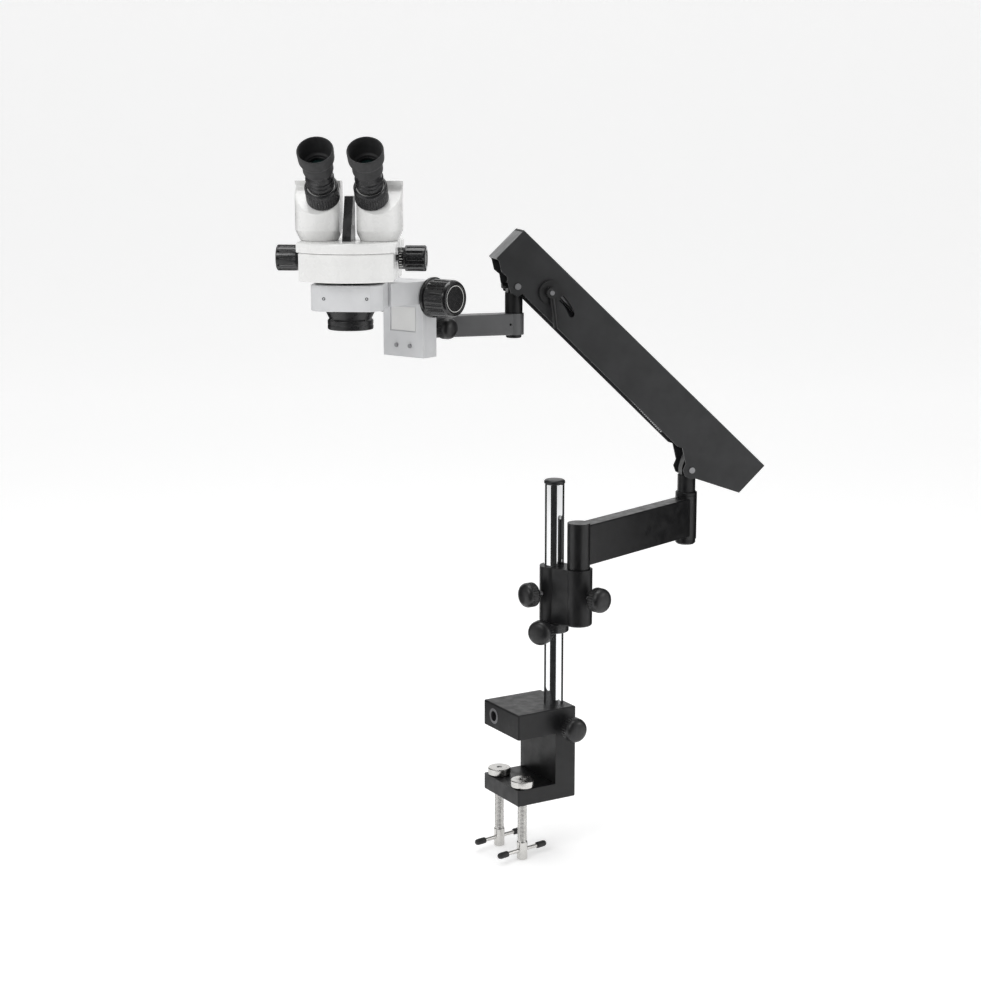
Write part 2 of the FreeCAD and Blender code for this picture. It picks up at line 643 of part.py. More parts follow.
def balance_link():
    inner = S.tongue_width / 2 + 1
    outer = inner + S.link_thick
    bars = [strut(S.beam_length, S.link_radius, inner, outer),
            strut(S.beam_length, S.link_radius, -outer, -inner)]
    spacers = [cylinder(3, inner * 2, (place, -inner, 0), "y")
               for place in (S.beam_length * 0.3, S.beam_length * 0.6)]
    pins = [cylinder(S.link_pin_radius, outer * 2 + 2, (place, -outer - 1, 0), "y")
            for place in (size(0), S.beam_length)]
    tab = block((S.bolt_place - S.link_radius, S.bolt_place + S.link_radius), (inner, outer),
                (-S.bolt_drop - S.link_radius, 0))
    part("balance_link", fuse(*bars, tab, *spacers, *pins), LINK)
    face = S.cover_half + S.joint_gap
    lever_low = face + S.disc_thick + S.joint_gap
    seat = (S.bolt_place, face, -S.bolt_drop)
    bolt = cylinder(S.bolt_radius, lever_low + S.lever_hub - outer,
                    (S.bolt_place, outer, -S.bolt_drop), "y")
    part("lock_bolt", group(bolt), LINK)
    disc = cut(cylinder(S.disc_radius, S.disc_thick, seat, "y"),
               cylinder(S.bolt_radius + S.seat_gap, S.disc_thick, seat, "y"))
    part("lock_disc", disc, LINK)
    hub = cylinder(S.lever_hub_radius, S.lever_hub, (0, lever_low, 0), "y")
    taper = {"Radius1": S.lever_hub / 2 - 0.1, "Radius2": S.lever_tip, "Height": S.lever_length}
    hanging = Rotation(Vector(0, 1, 0), 180 + S.lever_turn.value)
    grip = primitive("Cone", taper, (0, lever_low + S.lever_hub / 2, 0), hanging)
    bore = cylinder(S.bolt_radius + S.running_gap, S.lever_hub + 2, (0, lever_low - 1, 0), "y")
    part("lock_lever", cut(fuse(hub, grip), bore), LEVER)


def upper_knuckle():
    blade, pins = tongue(S.link_pin_radius + S.joint_gap)
    low = -S.upper_drop - S.joint_gap - S.front_height - S.joint_gap
    post = turned([(0, low - 4), (S.upper_journal_radius + 1, low - 4),
                   (S.upper_journal_radius + 2, low - 3), (S.upper_journal_radius + 2, low),
                   (S.upper_journal_radius, low), (S.upper_journal_radius, -S.upper_drop),
                   (S.upper_shaft_radius, -S.upper_drop), (S.upper_shaft_radius, -S.tongue_radius),
                   (0, -S.tongue_radius)])
    neck = block((-S.tongue_radius, S.tongue_radius), (-S.tongue_width / 2, S.tongue_width / 2),
                 (-S.tongue_radius - 2, 0))
    stop_screw = cylinder(S.stop_screw_radius, S.tongue_radius + S.stop_screw_reach, (0, 0, 0), "x")
    part("upper_knuckle", cut(fuse(post, neck, blade, stop_screw), *pins), UPPER_KNUCKLE)


def front_arm():
    eyes = [cylinder(S.front_eye, S.front_height, (place, 0, 0))
            for place in (size(0), S.front_length)]
    half = S.front_width / 2
    bar = block((0, S.front_length), (-half, half), (0, S.front_height))
    long_side = S.front_length.value / 2
    bar = rounded(bar, S.arm_edge, lambda middle: abs(middle.x - long_side) < 1e-3)
    knuckle_bore = cylinder(S.upper_journal_radius + S.running_gap, S.front_height)
    mount_bore = cylinder(S.mount_spindle_radius + S.running_gap, S.front_height,
                          (S.front_length, 0, 0))
    azimuth = S.mount_knob_turn - S.front_turn
    level = (S.front_length, 0, S.front_height / 2)
    drill = cylinder(S.stud_radius + S.joint_gap, S.front_eye + S.mount_knob_standoff)
    stud = turned_by(drill, pointing(azimuth), level)
    grub = cylinder(1.6, 5, (S.front_eye * 0.6, half - 5, S.front_height / 2), "y")
    part("front_arm", cut(fuse(*eyes, bar), knuckle_bore, mount_bore, stud, grub), FRONT_ARM)
    out = frame_at(*level, azimuth) * frame_at(S.front_eye + S.mount_knob_standoff, 0, 0)
    reach = S.front_eye - S.mount_spindle_radius + S.mount_knob_standoff - S.joint_gap
    clamping_knob("mount_knob", FRONT_ARM * out * Placement(Vector(), TURNS["x"]),
                  S.mount_knob_radius, reach)


# ---------------------------------------------------------------- focus mount and holder

rail_front = S.face_reach - S.front_plate - S.joint_gap
rail_back = rail_front - S.rail_thick
rail_high = S.rail_low + S.rail_height
rack_back = S.face_reach - S.front_plate - S.tail_depth - S.rack_thick
pinion_x = rack_back - S.pinion_radius - S.joint_gap


def focus_mount():
    low = front_top + S.joint_gap
    foot = block((-S.front_eye, rail_back), (-S.front_eye, S.front_eye), (low, low + S.bracket_thick))
    spindle = cylinder(S.mount_spindle_radius, S.front_height, (0, 0, low - S.front_height))
    part("mount_bracket", fuse(foot, spindle), MOUNT)
    wide = S.rail_width / 2
    groove = rail_front - S.tail_depth - S.slide_gap
    channel = rack_back - S.slide_gap
    mouth = S.tail_mouth + S.slide_gap * 2
    flare = mouth + S.tail_flare
    narrow = S.rack_half + S.slide_gap
    right = [(rail_front, wide), (rail_front, mouth), (groove, flare), (groove, narrow),
             (channel, narrow)]
    left = [(along, -across) for along, across in reversed(right)]
    points = [(rail_back, wide)] + right + left + [(rail_back, -wide)]
    rail = turned_by(plate("XY_Plane", points, S.rail_height, False), Rotation(), (0, 0, S.rail_low))
    bore = cylinder(S.focus_shaft_radius + S.running_gap, S.rail_width,
                    (pinion_x, -wide, S.focus_z), "y")
    nest = cylinder(S.pinion_radius + S.joint_gap, narrow * 2, (pinion_x, -narrow, S.focus_z), "y")
    part("focus_rail", cut(rail, bore, nest), MOUNT)


def focus_drive():
    wide = S.rail_width / 2
    start = wide + S.joint_gap
    tip = start + S.drum_length
    shaft = cylinder(S.focus_shaft_radius, tip * 2 - 12, (pinion_x, 6 - tip, S.focus_z), "y")
    pinion = cylinder(S.pinion_radius, S.rack_half * 2, (pinion_x, -S.rack_half, S.focus_z), "y")
    part("focus_pinion", fuse(shaft, pinion), MOUNT)
    for name, side in (("right", 1), ("left", -1)):
        rim = S.drum_radius
        grip = rim - 2
        bore = S.focus_shaft_radius + S.seat_gap
        reach = S.drum_length
        step = S.drum_flange
        profile = [(bore, 0), (rim, 0), (rim, step), (grip, step + 1.5), (grip, reach - 5),
                   (grip - 1, reach - 1.5), (grip - 3, reach), (0, reach), (0, reach - 5.5),
                   (bore, reach - 5.5)]
        drum = turned(profile, (16, grip + 0.6, S.drum_flute, step + 3, S.drum_length * 0.66))
        spot = frame_at(pinion_x, side * start, S.focus_z)
        facing = TURNS["y"] if side > 0 else TURNS["-y"]
        part(f"focus_knob_{name}", drum, MOUNT * spot * Placement(Vector(), facing))


def focus_holder():
    wide = S.rail_width / 2
    face = S.face_reach
    back = face - S.front_plate
    tail_back = back - S.tail_depth
    flare = S.tail_mouth + S.tail_flare
    points = [(face, wide), (back, wide), (back, S.tail_mouth), (tail_back, flare),
              (tail_back, -flare), (back, -S.tail_mouth), (back, -wide), (face, -wide)]
    slab = turned_by(plate("XY_Plane", points, S.rail_height, False), Rotation(), (0, 0, S.rail_low))
    arm_top = rail_high
    arm_low = S.ring_low
    near = face - 1
    far = face + S.ring_reach * 0.55
    neck = [(near, wide), (near + 14, S.holder_arm_half + 3), (far, S.holder_arm_half),
            (far, -S.holder_arm_half), (near + 14, -S.holder_arm_half - 3), (near, -wide)]
    neck = turned_by(plate("XY_Plane", neck, arm_top - arm_low, False), Rotation(), (0, 0, arm_low))
    half = S.ring_half
    square = block((-half, half), (-half, half), (0, S.ring_height))
    ring = common(square, cylinder(S.ring_corner, S.ring_height))
    high = S.ring_height.value
    ring = rounded(ring, S.holder_edge, lambda middle: middle.z < 1e-3 or middle.z > high - 1e-3)
    ring = turned_by(ring, Rotation(Vector(0, 0, 1), (S.head_turn - S.mount_turn).value),
                     (ring_x, 0, S.ring_low))
    bore = cylinder(S.ring_bore, S.ring_height * 2, (ring_x, 0, S.ring_low - S.ring_height / 2))
    label = block((face - S.label_depth, face + 1), (-S.label_width / 2, S.label_width / 2),
                  (S.ring_low - 4 - S.label_height, S.ring_low - 4))
    part("focus_holder", cut(fuse(slab, neck, ring), bore, label), MOUNT)
    margin = 1.5
    plate_block = block((face - S.label_depth, face - S.label_depth + 0.6),
                        (-S.label_width / 2 + margin, S.label_width / 2 - margin),
                        (S.ring_low - 4 - S.label_height + margin, S.ring_low - 4 - margin))
    part("label_plate", group(plate_block), MOUNT)
    rack = block((tail_back - S.rack_thick, tail_back), (-S.rack_half, S.rack_half),
                 (S.rail_low + 5, rail_high - 5))
    part("focus_rack", group(rack), MOUNT)
    screws = [cylinder(S.cap_screw_radius, S.cap_screw_head,
                       (face, side * S.cap_screw_apart / 2, S.rail_low + 14), "x") for side in (-1, 1)]
    part("holder_screws", group(*screws), MOUNT)


# ---------------------------------------------------------------- zoom head

def body_plan(extra, low, high):
    """The head's plan: a block whose front and back corners follow one large round."""
    half = S.body_half + extra
    shell = block((-S.body_back - extra, S.body_front + extra), (-half, half), (low, high))
    disc = cylinder(S.body_round + extra, high - low, (S.body_front - S.body_round, 0, low))
    return common(shell, disc)


def at_level(middle, *levels):
    return any(abs(middle.z - level.value) < 1e-3 for level in levels)


def zoom_body():
    top = head_low + S.lower_height
    shell = rounded(body_plan(size(0), head_low, top), S.body_edge,
                    lambda middle: at_level(middle, head_low, top))
    nose = cylinder(S.nose_radius, head_low - S.ring_low, (0, 0, S.ring_low))
    cavity = cylinder(S.body_cavity, S.lower_height - S.body_wall - S.body_roof,
                      (0, 0, head_low + S.body_wall))
    light = cylinder(S.nose_radius - S.body_wall, head_low - S.ring_low + S.body_wall * 2,
                     (0, 0, S.ring_low))
    axle = cylinder(S.zoom_shaft_radius + S.running_gap, S.body_half * 2 + 2,
                    (0, -S.body_half - 1, head_low + S.zoom_z), "y")
    part("zoom_body_lower", cut(fuse(shell, nose), cavity, light, axle), HEAD)
    bore = S.nose_radius + S.seat_gap
    part("body_groove_ring", turned([(bore, S.ring_low + S.ring_height + S.joint_gap),
                                     (S.groove_radius, S.ring_low + S.ring_height + S.joint_gap),
                                     (S.groove_radius, head_low), (bore, head_low)]), HEAD)
    upper_top = upper_low + S.upper_height
    upper = body_plan(S.body_flare, upper_low, upper_top)
    upper = rounded(upper, S.body_edge, lambda middle: at_level(middle, upper_low))
    upper = rounded(upper, S.roof_edge, lambda middle: at_level(middle, upper_top))
    part("zoom_body_upper", group(upper), HEAD)


def objective():
    top = S.ring_low - S.seat_gap
    waist = top - S.cell_taper
    rim = waist - S.cell_rim_height
    bore = S.lens_radius + S.seat_gap
    floor = rim + S.thread_depth
    profile = [(bore, top), (S.cell_top_radius, top), (S.cell_waist, waist),
               (S.cell_rim, waist - 2), (S.cell_rim, rim + 1), (S.cell_rim - 1, rim),
               (S.thread_radius, rim), (S.thread_radius, floor), (bore, floor)]
    part("objective_cell", turned(profile), HEAD)
    glass = floor + 2
    part("objective_lens", turned([(0, glass), (S.lens_radius - 1, glass), (S.lens_radius, glass + 1),
                                   (S.lens_radius, glass + S.lens_thick), (0, glass + S.lens_thick)]),
         HEAD)


def zoom_drive():
    level = head_low + S.zoom_z
    side_face = S.body_half + S.body_flare + S.joint_gap
    shaft = cylinder(S.zoom_shaft_radius, side_face * 2 + 16, (0, -side_face - 8, level), "y")
    drum = cylinder(S.zoom_drum_radius, S.zoom_drum_half * 2, (0, -S.zoom_drum_half, level), "y")
    part("zoom_shaft", fuse(shaft, drum), HEAD)
    for name, side, collar in (("right", 1, S.zoom_collar), ("left", -1, size(2))):
        rim = S.zoom_knob_radius
        bore = S.zoom_shaft_radius + S.seat_gap
        grip = collar + 1
        reach = collar + S.zoom_knob_length
        profile = [(bore, 0), (rim - 2.5, 0), (rim - 2.5, collar), (rim, grip), (rim, reach - 1),
                   (rim - 1.5, reach), (0, reach), (0, 8 + S.seat_gap), (bore, 8 + S.seat_gap)]
        knob = turned(profile, (18, rim + 0.4, 1.4, reach - S.zoom_knob_length * 0.6,
                                S.zoom_knob_length * 0.5))
        spot = frame_at(0, side * side_face, level)
        facing = TURNS["y"] if side > 0 else TURNS["-y"]
        part(f"zoom_knob_{name}", knob, HEAD * spot * Placement(Vector(), facing))


def centre_plate():
    low = housing_low - S.joint_gap
    front = S.body_front * 0.42
    back = front - S.plate_length
    points = [(back, low), (front, low), (front, low + 6), (back + 16, low + S.plate_height),
              (back, low + S.plate_height)]
    part("centre_plate", plate("XZ_Plane", points, S.plate_half * 2), HEAD)


def prism_housing(name, side):
    shift = side * S.housing_shift
    tall = S.housing_height
    round_low = S.housing_foot
    wide = S.housing_radius
    front = cylinder(wide, tall - round_low, (0, shift, round_low))
    rear = cylinder(wide - 2, tall - round_low, (-S.housing_back, shift, round_low))
    roof = tall.value
    rear = rounded(rear, S.roof_edge, lambda middle: abs(middle.z - roof) < 1e-3)
    foot = primitive("Cone", {"Radius1": wide - S.housing_foot_inset, "Radius2": wide,
                              "Height": round_low}, (0, shift, 0), Rotation())
    mass = fuse(front, rear, foot)
    inner = wide - 3
    lane = block((-90, 90), (-90, 90), (0, 150))
    lane = turned_by(lane, TILT, (S.housing_face, 0, 0))
    flat_low = shift - side * inner
    flat = block((-90, 90), (0, 60), (-1, tall + 1))
    flat = turned_by(flat, Rotation(Vector(0, 0, 1), 0 if side < 0 else 180), (0, flat_low, 0))
    head = cut(mass, lane, flat)
    slope = S.housing_face.value
    head = rounded(head, S.housing_edge, lambda middle: abs(middle.x + middle.z - slope) < 0.05)
    where = (S.tube_out, -side * S.tube_shift, S.housing_face - S.tube_out)
    tube = turned_by(cylinder(S.tube_radius, S.tube_rise + 4, (0, 0, -4)), TILT, where)
    light = cylinder(S.tube_radius - S.tube_wall, S.tube_rise + 30, (0, 0, -26))
    bore = turned_by(light, TILT, where)
    nest = S.prism_size + 1
    chamber = block((-nest / 2, nest / 2), (shift - nest / 2, shift + nest / 2), (-1, nest + 4))
    part(f"prism_housing_{name}", cut(fuse(head, tube), bore, chamber), housing_frame(side))
    glass = S.prism_size
    prism = block((-glass / 2, glass / 2), (shift - glass / 2, shift + glass / 2), (2, glass + 2))
    part(f"prism_{name}", group(prism), housing_frame(side))


def eyepiece(name, side):
    where = eyepiece_frame(side)
    sleeve = S.diopter_radius - S.diopter_wall
    high = S.diopter_length
    ring = turned([(sleeve, S.joint_gap), (S.diopter_radius - 1, S.joint_gap),
                   (S.diopter_radius, 2), (S.diopter_radius, high - 2),
                   (S.diopter_radius - 1.5, high), (sleeve, high)],
                  (36, S.diopter_radius + 0.5, 0.9, 3, S.diopter_length * 0.7))
    part(f"diopter_ring_{name}", ring, where)
    insert = S.tube_radius - S.tube_wall - S.slide_gap
    low = S.eyepiece_lift
    top = low + S.eyepiece_body
    bore = S.eye_lens_radius + S.seat_gap
    barrel = turned([(insert - 2, 5), (insert, 5), (insert, low), (S.eyepiece_radius, low),
                     (S.eyepiece_radius, low + 6), (S.eyepiece_radius - 0.8, low + 7),
                     (S.eyepiece_radius - 0.8, low + 9), (S.eyepiece_radius, low + 10),
                     (S.eyepiece_radius, top), (bore, top), (bore, top - 8), (insert - 2, top - 14)])
    part(f"eyepiece_{name}", barrel, where)
    glass = top - S.eye_lens_thick - 1
    lens = turned([(0, glass), (S.eye_lens_radius, glass), (S.eye_lens_radius, top - 2), (0, top - 1)])
    part(f"eye_lens_{name}", lens, where)
    grip = S.eyepiece_radius + S.seat_gap
    outer = S.cup_radius
    rim = S.cup_reach
    start = low + 15
    cup = turned([(grip, start), (grip + 1.6, start), (outer - 1.5, start + 14), (outer - 0.4, start + 20),
                  (outer, rim), (outer - S.cup_wall, rim), (outer - S.cup_wall - 0.6, start + 22),
                  (grip - 2.5, top + S.seat_gap), (grip, top + S.seat_gap)])
    part(f"eyecup_{name}", cup, where)


clamp_frame()
accessory_socket()
pillar()
pillar_lock_knob()
for name, side in (("front", -1), ("rear", 1)):
    clamp_screw(name, side)
height_collar()
carrier()
lower_arm()
lower_knuckle()
beam_cover()
beam_fittings()
balance_link()
upper_knuckle()
front_arm()
focus_mount()
focus_drive()
focus_holder()
zoom_body()
objective()
zoom_drive()
centre_plate()
for name, side in (("left", -1), ("right", 1)):
    prism_housing(name, side)
    eyepiece(name, side)

doc.recompute()
for item in doc.Objects:
    if {"Invalid", "Error"} & set(item.State):
        raise ValueError(f"{item.Name} ({item.Label}) did not build: {item.State}")
os.makedirs("parts", exist_ok=True)
for item in PARTS:
    if item.Shape.isNull() or not item.Shape.isValid() or not item.Shape.Solids:
        raise ValueError(f"{item.Label} has no sound solid")
    item.Shape.exportStep(f"parts/{item.Label}.step")
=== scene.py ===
import json
import math

import bmesh
import bpy
import numpy as np
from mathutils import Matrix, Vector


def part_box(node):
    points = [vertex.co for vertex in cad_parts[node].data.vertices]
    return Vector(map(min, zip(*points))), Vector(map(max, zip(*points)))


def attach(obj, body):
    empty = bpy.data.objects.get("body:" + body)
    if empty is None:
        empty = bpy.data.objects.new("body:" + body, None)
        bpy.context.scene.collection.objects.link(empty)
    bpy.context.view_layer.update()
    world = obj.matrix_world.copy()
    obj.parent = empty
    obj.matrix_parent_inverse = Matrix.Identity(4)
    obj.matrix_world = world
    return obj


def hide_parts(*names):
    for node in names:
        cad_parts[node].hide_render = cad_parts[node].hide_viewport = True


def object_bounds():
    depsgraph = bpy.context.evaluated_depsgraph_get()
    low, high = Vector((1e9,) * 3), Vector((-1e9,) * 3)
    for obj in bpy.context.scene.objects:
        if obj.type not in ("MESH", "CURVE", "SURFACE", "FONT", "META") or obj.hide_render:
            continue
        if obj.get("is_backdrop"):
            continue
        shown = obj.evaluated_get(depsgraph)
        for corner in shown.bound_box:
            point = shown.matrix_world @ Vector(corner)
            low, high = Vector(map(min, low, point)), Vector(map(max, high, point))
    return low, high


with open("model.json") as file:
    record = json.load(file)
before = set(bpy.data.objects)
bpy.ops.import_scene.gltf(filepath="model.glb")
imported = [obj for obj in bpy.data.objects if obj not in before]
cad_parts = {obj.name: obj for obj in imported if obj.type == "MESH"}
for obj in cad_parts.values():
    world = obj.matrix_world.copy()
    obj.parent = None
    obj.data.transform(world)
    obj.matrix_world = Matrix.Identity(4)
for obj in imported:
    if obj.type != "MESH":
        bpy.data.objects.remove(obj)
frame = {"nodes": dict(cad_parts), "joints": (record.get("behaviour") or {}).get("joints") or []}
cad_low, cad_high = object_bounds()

# ------------------------------------------------------------------ studio
# A pale floor that sweeps up behind the microscope, soft boxes and a camera. The tall dark
# cards are seen only in the chrome, which needs something dark to mirror.
MM = 0.001
scene = bpy.context.scene
scene.view_settings.view_transform = "Standard"


def new_material(name, colour, rough, metal=0.0, **sockets):
    """A plain finish: (material, its node tree, its shader), with any other shader sockets by name."""
    material = bpy.data.materials.new(name)
    material.use_nodes = True
    tree = material.node_tree
    shader = tree.nodes["Principled BSDF"]
    shader.inputs["Base Color"].default_value = (*colour, 1)
    shader.inputs["Roughness"].default_value = rough
    shader.inputs["Metallic"].default_value = metal
    for socket, value in sockets.items():
        shader.inputs[socket.replace("_", " ")].default_value = value
    return material, tree, shader


def add_mesh(name, points, faces, smooth_angle=None):
    """A mesh object from an array of points and a list of faces."""
    mesh = bpy.data.meshes.new(name)
    mesh.from_pydata(np.asarray(points, float).tolist(), [], [list(map(int, face)) for face in faces])
    mesh.update()
    if smooth_angle is not None:
        mesh.polygons.foreach_set("use_smooth", [True] * len(mesh.polygons))
        mesh.set_sharp_from_angle(angle=math.radians(smooth_angle))
    piece = bpy.data.objects.new(name, mesh)
    scene.collection.objects.link(piece)
    return piece


def sweep_points(width, front, depth, height, bend, steps):
    """Level floor along Y that turns up through a quarter circle: points of its two side lines."""
    turn = np.linspace(0, math.pi / 2, steps)
    along = np.concatenate([[-front], depth - bend + bend * np.sin(turn), [depth]])
    up = np.concatenate([[0], bend - bend * np.cos(turn), [height]])
    across = np.tile([-width, width], len(along))
    return np.stack([across, np.repeat(along, 2), np.repeat(up, 2)], 1)


look = math.radians(-30.8)
floor_points = sweep_points(30, 50, 7, 8, 3, 16)
turn_floor = np.array([[math.cos(look), -math.sin(look), 0],
                       [math.sin(look), math.cos(look), 0],
                       [0, 0, 1]])
floor_points = floor_points @ turn_floor.T + (0, 0, cad_low.z - 0.0005)
rows = len(floor_points) // 2
floor = add_mesh("pale_floor", floor_points,
                 [(2 * i, 2 * i + 1, 2 * i + 3, 2 * i + 2) for i in range(rows - 1)], 60)
pale_paper, tree, shader = new_material("pale_paper", (0.92, 0.92, 0.92), 0.9)
shader.inputs["Emission Color"].default_value = (1, 1, 1, 1)
shader.inputs["Emission Strength"].default_value = 0.33
floor.data.materials.append(pale_paper)
floor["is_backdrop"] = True

world = bpy.data.worlds.new("soft_white")
scene.world = world
world.use_nodes = True
world.node_tree.nodes["Background"].inputs["Color"].default_value = (1.0, 1.0, 1.0, 1)
world.node_tree.nodes["Background"].inputs["Strength"].default_value = 0.5

camera = bpy.data.objects.new("camera", bpy.data.cameras.new("camera"))
camera.data.lens = 73.4
camera.data.sensor_width = 36
camera.data.clip_end = 60
camera.location = (-1.275, -2.067, 0.779)
camera.rotation_euler = (math.radians(79), 0, look)
scene.collection.objects.link(camera)
scene.camera = camera


def soft_box(name, spot, aim, size, power):
    """A square light at a spot, turned to face an aim."""
    lamp = bpy.data.lights.new(name, "AREA")
    lamp.size = size
    lamp.energy = power
    holder = bpy.data.objects.new(name, lamp)
    holder.location = spot
    way = np.subtract(spot, aim)
    holder.rotation_euler = (math.atan2(math.hypot(way[0], way[1]), way[2]), 0, math.atan2(way[0], -way[1]))
    scene.collection.objects.link(holder)


soft_box("key_light", (-1.9, -0.9, 1.8), (0, 0, 0.4), 0.9, 16)
soft_box("fill_light", (1.4, -1.6, 0.9), (0, 0, 0.3), 0.7, 5)
soft_box("top_light", (0.0, 0.2, 2.4), (0, 0, 0.4), 1.2, 18)

dark_card = new_material("dark_card", (0.01, 0.01, 0.01), 0.9)[0]
right = np.array([math.cos(look), math.sin(look), 0])
ahead = np.array([-math.sin(look), math.cos(look), 0])
for card, (turned, half, reach, top) in enumerate([(-5, 37, 0.45, 1.1), (-122, 22, 0.5, 1.1),
                                                   (128, 26, 0.5, 0.24), (128, 26, 0.7, 1.1)]):
    around, side = math.radians(turned), reach * math.tan(math.radians(half))
    middle = reach * (math.sin(around) * right - math.cos(around) * ahead)
    along = math.cos(around) * right + math.sin(around) * ahead
    corners = [middle - side * along, middle + side * along]
    points = [(*corner[:2], z) for z in (cad_low.z, top) for corner in corners]
    board = add_mesh(f"dark_card_{card}", points, [(0, 1, 3, 2)])
    board.data.materials.append(dark_card)
    board.visible_camera = False
    board.visible_diffuse = False
    board.visible_shadow = False
    board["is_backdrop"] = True


# ------------------------------------------------------------------ clamp casting
# The clamp is one iron casting, machined on the jaws and sprayed satin black. Its edges are
# broken, not sharp, and the paint has a fine orange-peel grain with faint rub marks.

def object_noise(tree, scale, detail=4.0, stretch=(1, 1, 1)):
    """Noise over the piece's own coordinates, stretched along some of its axes."""
    coordinates = tree.nodes.new("ShaderNodeTexCoord")
    mapping = tree.nodes.new("ShaderNodeMapping")
    mapping.inputs["Scale"].default_value = stretch
    noise = tree.nodes.new("ShaderNodeTexNoise")
    noise.inputs["Scale"].default_value = scale
    noise.inputs["Detail"].default_value = detail
    tree.links.new(coordinates.outputs["Object"], mapping.inputs["Vector"])
    tree.links.new(mapping.outputs["Vector"], noise.inputs["Vector"])
    return noise


def spread(tree, source, low, high, socket, window=(0.35, 0.65)):
    """Turns a noise's middle window into a span of values for a socket."""
    span = tree.nodes.new("ShaderNodeMapRange")
    span.inputs["From Min"].default_value = window[0]
    span.inputs["From Max"].default_value = window[1]
    span.inputs["To Min"].default_value = low
    span.inputs["To Max"].default_value = high
    tree.links.new(source.outputs["Fac"], span.inputs["Value"])
    tree.links.new(span.outputs["Result"], socket)


def tint(tree, source, dark, light, socket, window=(0.35, 0.65)):
    """Turns a noise into a mix of two colours."""
    ramp = tree.nodes.new("ShaderNodeValToRGB")
    ramp.color_ramp.elements[0].position = window[0]
    ramp.color_ramp.elements[1].position = window[1]
    ramp.color_ramp.elements[0].color = (*dark, 1)
    ramp.color_ramp.elements[1].color = (*light, 1)
    tree.links.new(source.outputs["Fac"], ramp.inputs["Fac"])
    tree.links.new(ramp.outputs["Color"], socket)


def bump(tree, shader, source, strength, height):
    relief = tree.nodes.new("ShaderNodeBump")
    relief.inputs["Strength"].default_value = strength
    relief.inputs["Distance"].default_value = height
    tree.links.new(source.outputs["Fac"], relief.inputs["Height"])
    tree.links.new(relief.outputs["Normal"], shader.inputs["Normal"])


def sprayed(name, dark, light, rough, grain=1400.0, depth=0.00012, **sockets):
    """Sprayed paint: cloudy colour, patchy gloss, and orange peel in relief."""
    material, tree, shader = new_material(name, dark, rough, **sockets)
    cloud = object_noise(tree, 28)
    tint(tree, cloud, dark, light, shader.inputs["Base Color"])
    patch = object_noise(tree, 90, 6)
    spread(tree, patch, rough - 0.06, rough + 0.08, shader.inputs["Roughness"])
    peel = object_noise(tree, grain, 2)
    bump(tree, shader, peel, 0.35, depth)
    return material


black_casting = sprayed("black_casting", (0.005, 0.005, 0.0055), (0.009, 0.009, 0.0098), 0.4,
                        grain=900, Specular_IOR_Level=0.4)


def coated(node, material):
    """A finish on every material slot of a node that keeps its own shape."""
    for holder in frame["nodes"][node].material_slots:
        holder.material = material


def turned_metal(name, colour, rough, streak=260.0, **sockets):
    """Turned or ground steel: fine streaks stretched round the piece, and slight tarnish."""
    material, tree, shader = new_material(name, colour, rough, metal=1.0, **sockets)
    tarnish = object_noise(tree, 60)
    tint(tree, tarnish, tuple(0.86 * part for part in colour), colour, shader.inputs["Base Color"])
    streaks = object_noise(tree, streak, 5, (1, 1, 14))
    spread(tree, streaks, rough - 0.05, rough + 0.1, shader.inputs["Roughness"])
    bump(tree, shader, streaks, 0.12, 0.00004)
    return material


coated("clamp_frame", black_casting)
machined_steel = turned_metal("machined_steel", (0.34, 0.34, 0.35), 0.34)
coated("accessory_socket", machined_steel)


# ------------------------------------------------------------------ clamp screws and pads
# Stainless rods with a rolled thread, a smooth hub and a cross bar with dipped rubber caps.
# Each ends in a swivelling pad that grips the table from below.
stainless = turned_metal("stainless", (0.66, 0.65, 0.63), 0.22)
JOINTS = {joint["name"]: joint for joint in frame["joints"]}


class Lathe:
    """Axes of a turned piece: Z along a joint's axis, from a point on it."""

    def __init__(self, spot, way, lead=(0, 0, 1)):
        self.spot = np.array(spot, float)
        self.z = np.array(way, float) / np.linalg.norm(way)
        side = np.cross(lead, self.z)
        if np.linalg.norm(side) < 1e-6:
            side = np.array([0.0, 1.0, 0.0])
        self.y = side / np.linalg.norm(side)
        self.x = np.cross(self.y, self.z)

    def out(self, local):
        """Points given along the three axes, as points of the frame."""
        return self.spot + local[..., :1] * self.x + local[..., 1:2] * self.y + local[..., 2:] * self.z

    def reach(self, node):
        """(lowest height, highest height, largest radius) of a node round this axis."""
        mesh = frame["nodes"][node].data
        points = np.empty(len(mesh.vertices) * 3)
        mesh.vertices.foreach_get("co", points)
        points = points.reshape(-1, 3) - self.spot
        height = points @ self.z
        return height.min(), height.max(), np.linalg.norm(points - height[:, None] * self.z, axis=1).max()


def joint_axis(joint, flip=False):
    record = JOINTS[joint]
    return Lathe(record["pos_m"], np.array(record["axis"]) * (-1 if flip else 1))


def eased(profile, ease, closed=False):
    """A (radius, height) line with each corner swapped for a short parabola, at most ease long."""
    points = [np.array(point, float) for point in profile]
    count = len(points)
    smooth = []
    for index, corner in enumerate(points):
        if not closed and index in (0, count - 1) or corner[0] < 1e-6:
            smooth.append(corner)
            continue
        before, after = points[index - 1], points[(index + 1) % count]
        back = min(ease, 0.45 * np.linalg.norm(before - corner))
        ahead = min(ease, 0.45 * np.linalg.norm(after - corner))
        start = corner + (before - corner) / (np.linalg.norm(before - corner) + 1e-12) * back
        end = corner + (after - corner) / (np.linalg.norm(after - corner) + 1e-12) * ahead
        for share in np.linspace(0, 1, 5):
            smooth.append((1 - share) ** 2 * start + 2 * share * (1 - share) * corner + share ** 2 * end)
    return np.array(smooth)


